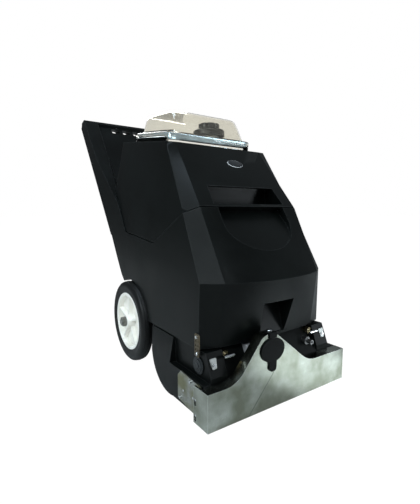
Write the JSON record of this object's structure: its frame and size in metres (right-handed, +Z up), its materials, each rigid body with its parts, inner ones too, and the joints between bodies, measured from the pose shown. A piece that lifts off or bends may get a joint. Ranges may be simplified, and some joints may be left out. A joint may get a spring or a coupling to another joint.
{
  "type": "walk-behind carpet extractor",
  "caption": "Walk-behind carpet extractor with a black moulded body, clear domed lid, polished suction shoe, brush drive and wheels.",
  "frame": {"origin": "on the floor, in the middle of the overall length and width", "axes": "+X to the machine's left as the operator stands, which is right as seen from the front; +Y from the suction shoe back to the operator's console; +Z up"},
  "size_m": [0.476, 0.9804, 0.8349],
  "materials": {
    "black_moulding": "satin rotomoulded plastic",
    "black_cap": "satin",
    "badge_metal": "satin",
    "polished_aluminium": "polished with faint mottling",
    "bright_band": "polished",
    "clear_dome": "clear smoky plastic",
    "stainless": "brushed with protective film",
    "zinc": "zinc plated",
    "fastener_steel": "bright",
    "rubber": "matt",
    "tyre_rubber": "smooth",
    "rim_plastic": "off-white satin",
    "frame_paint": "black powder coat",
    "grey_plastic": "satin",
    "white_pipe": "satin pipe",
    "motor_metal": "cast",
    "bristle_nylon": "fine nylon filaments",
    "brass": "machined",
    "switch_black": "gloss",
    "chrome": "polished",
    "foam": "closed-cell float"
  },
  "bodies": {
    "chassis": {"solution_tank": "black_moulding", "base_housing": "black_moulding", "pivot_caps": "black_cap", "side_plates": "stainless", "shoe_bolts": "fastener_steel", "tie_strap": "stainless", "corner_brackets": "zinc", "side_screws": "fastener_steel", "pin_guides": "brass", "quick_coupler": "chrome", "recovery_duct": "grey_plastic", "air_riser": "white_pipe", "vacuum_motor": "motor_metal", "rear_frame": "frame_paint", "frame_bolts": "fastener_steel", "axle": "fastener_steel", "axle_washers": "fastener_steel", "axle_nuts": "fastener_steel", "brush_arms": "stainless", "brush_bushes": "brass", "drive_belt": "rubber", "brush_motor": "frame_paint", "motor_saddle": "grey_plastic", "solution_pump": "grey_plastic", "spray_bar": "stainless", "spray_nozzles": "brass", "rear_cover": "black_moulding", "cover_screws": "fastener_steel", "cord_inlet": "grey_plastic"},
    "recovery": {"recovery_tank": "black_moulding", "badge": "badge_metal", "suction_pipe": "white_pipe", "inlet_pipe": "white_pipe", "pipe_head": "grey_plastic", "tank_seals": "rubber"},
    "dome": {"dome_lid": "clear_dome", "dome_band": "bright_band", "dome_gasket": "rubber"},
    "filter": {"filter_cap": "black_cap"},
    "float": {"float_ring": "foam"},
    "shoe": {"vacuum_shoe": "polished_aluminium", "shoe_hose": "rubber", "cap_strap": "rubber", "cap_bolt": "chrome"},
    "port_flap": {"port_cap": "rubber"},
    "pin_left": {"pull_pin_left": "chrome"},
    "pin_right": {"pull_pin_right": "chrome"},
    "wheel_left": {"tyre_left": "tyre_rubber", "rim_left": "rim_plastic"},
    "wheel_right": {"tyre_right": "tyre_rubber", "rim_right": "rim_plastic"},
    "brush": {"brush_core": "grey_plastic", "brush_bristles": "bristle_nylon", "brush_pulley": "motor_metal"},
    "brush_rotor": {"motor_pulley": "motor_metal"},
    "fan": {"vacuum_fan": "motor_metal"},
    "brush_rocker": {"brush_switch": "switch_black"},
    "vacuum_rocker": {"vacuum_switch": "switch_black"},
    "pump_rocker": {"pump_switch": "switch_black"},
    "drain": {"drain_cap": "black_cap"}
  },
  "joints": [
    {"name": "shoe_float", "type": "slide", "parent": "chassis", "child": "shoe", "axis": [0, 0, 1], "range_m": [0, 0.01]},
    {"name": "port_flap_hinge", "type": "hinge", "parent": "shoe", "child": "port_flap", "pos_m": [-0.046, -0.4902, 0.1734], "axis": [-1, 0, 0], "range_deg": [0, 110], "stiffness_Nm_per_rad": 0.02, "springref_deg": -8.59},
    {"name": "tank_lift", "type": "slide", "parent": "chassis", "child": "recovery", "axis": [0, 0, 1], "range_m": [0, 0.15]},
    {"name": "dome_lift", "type": "slide", "parent": "recovery", "child": "dome", "axis": [0, -0.14, 0.9901], "range_m": [0, 0.14]},
    {"name": "filter_turn", "type": "hinge", "parent": "recovery", "child": "filter", "pos_m": [0.042, -0.0942, 0.72], "axis": [0, 0, 1], "range_deg": [0, 90]},
    {"name": "float_rise", "type": "slide", "parent": "recovery", "child": "float", "axis": [0, 0, 1], "range_m": [0, 0.039]},
    {"name": "left_wheel_spin", "type": "hinge", "parent": "chassis", "child": "wheel_left", "pos_m": [-0.2, -0.0172, 0.125], "axis": [1, 0, 0], "continuous": true},
    {"name": "right_wheel_spin", "type": "hinge", "parent": "chassis", "child": "wheel_right", "pos_m": [0.2, -0.0172, 0.125], "axis": [1, 0, 0], "continuous": true},
    {"name": "brush_spin", "type": "hinge", "parent": "chassis", "child": "brush", "pos_m": [0, -0.3842, 0.056], "axis": [1, 0, 0], "continuous": true},
    {"name": "brush_motor_spin", "type": "hinge", "parent": "chassis", "child": "brush_rotor", "pos_m": [0.18, -0.2582, 0.102], "axis": [1, 0, 0], "continuous": true},
    {"name": "fan_spin", "type": "hinge", "parent": "chassis", "child": "fan", "pos_m": [0.042, -0.0942, 0.17], "axis": [0, 0, 1], "continuous": true},
    {"name": "left_pin_pull", "type": "slide", "parent": "chassis", "child": "pin_left", "axis": [0, -1, 0], "range_m": [0, 0.01], "stiffness_N_per_m": 400, "springref_m": -0.004},
    {"name": "right_pin_pull", "type": "slide", "parent": "chassis", "child": "pin_right", "axis": [0, -1, 0], "range_m": [0, 0.01], "stiffness_N_per_m": 400, "springref_m": -0.004},
    {"name": "drain_turn", "type": "hinge", "parent": "chassis", "child": "drain", "pos_m": [-0.11, 0.1163, 0.33762], "axis": [0, 0.7961, -0.6052], "range_deg": [0, 90]},
    {"name": "brush_switch_rock", "type": "hinge", "parent": "chassis", "child": "brush_rocker", "pos_m": [-0.056, 0.43307, 0.74023], "axis": [1, 0, 0], "range_deg": [0, 16]},
    {"name": "vacuum_switch_rock", "type": "hinge", "parent": "chassis", "child": "vacuum_rocker", "pos_m": [0, 0.43307, 0.74023], "axis": [1, 0, 0], "range_deg": [0, 16]},
    {"name": "pump_switch_rock", "type": "hinge", "parent": "chassis", "child": "pump_rocker", "pos_m": [0.056, 0.43307, 0.74023], "axis": [1, 0, 0], "range_deg": [0, 16]}
  ],
  "couplings": [
    {"joint": "brush_motor_spin", "follows": "brush_spin", "ratio": 1.5}
  ]
}
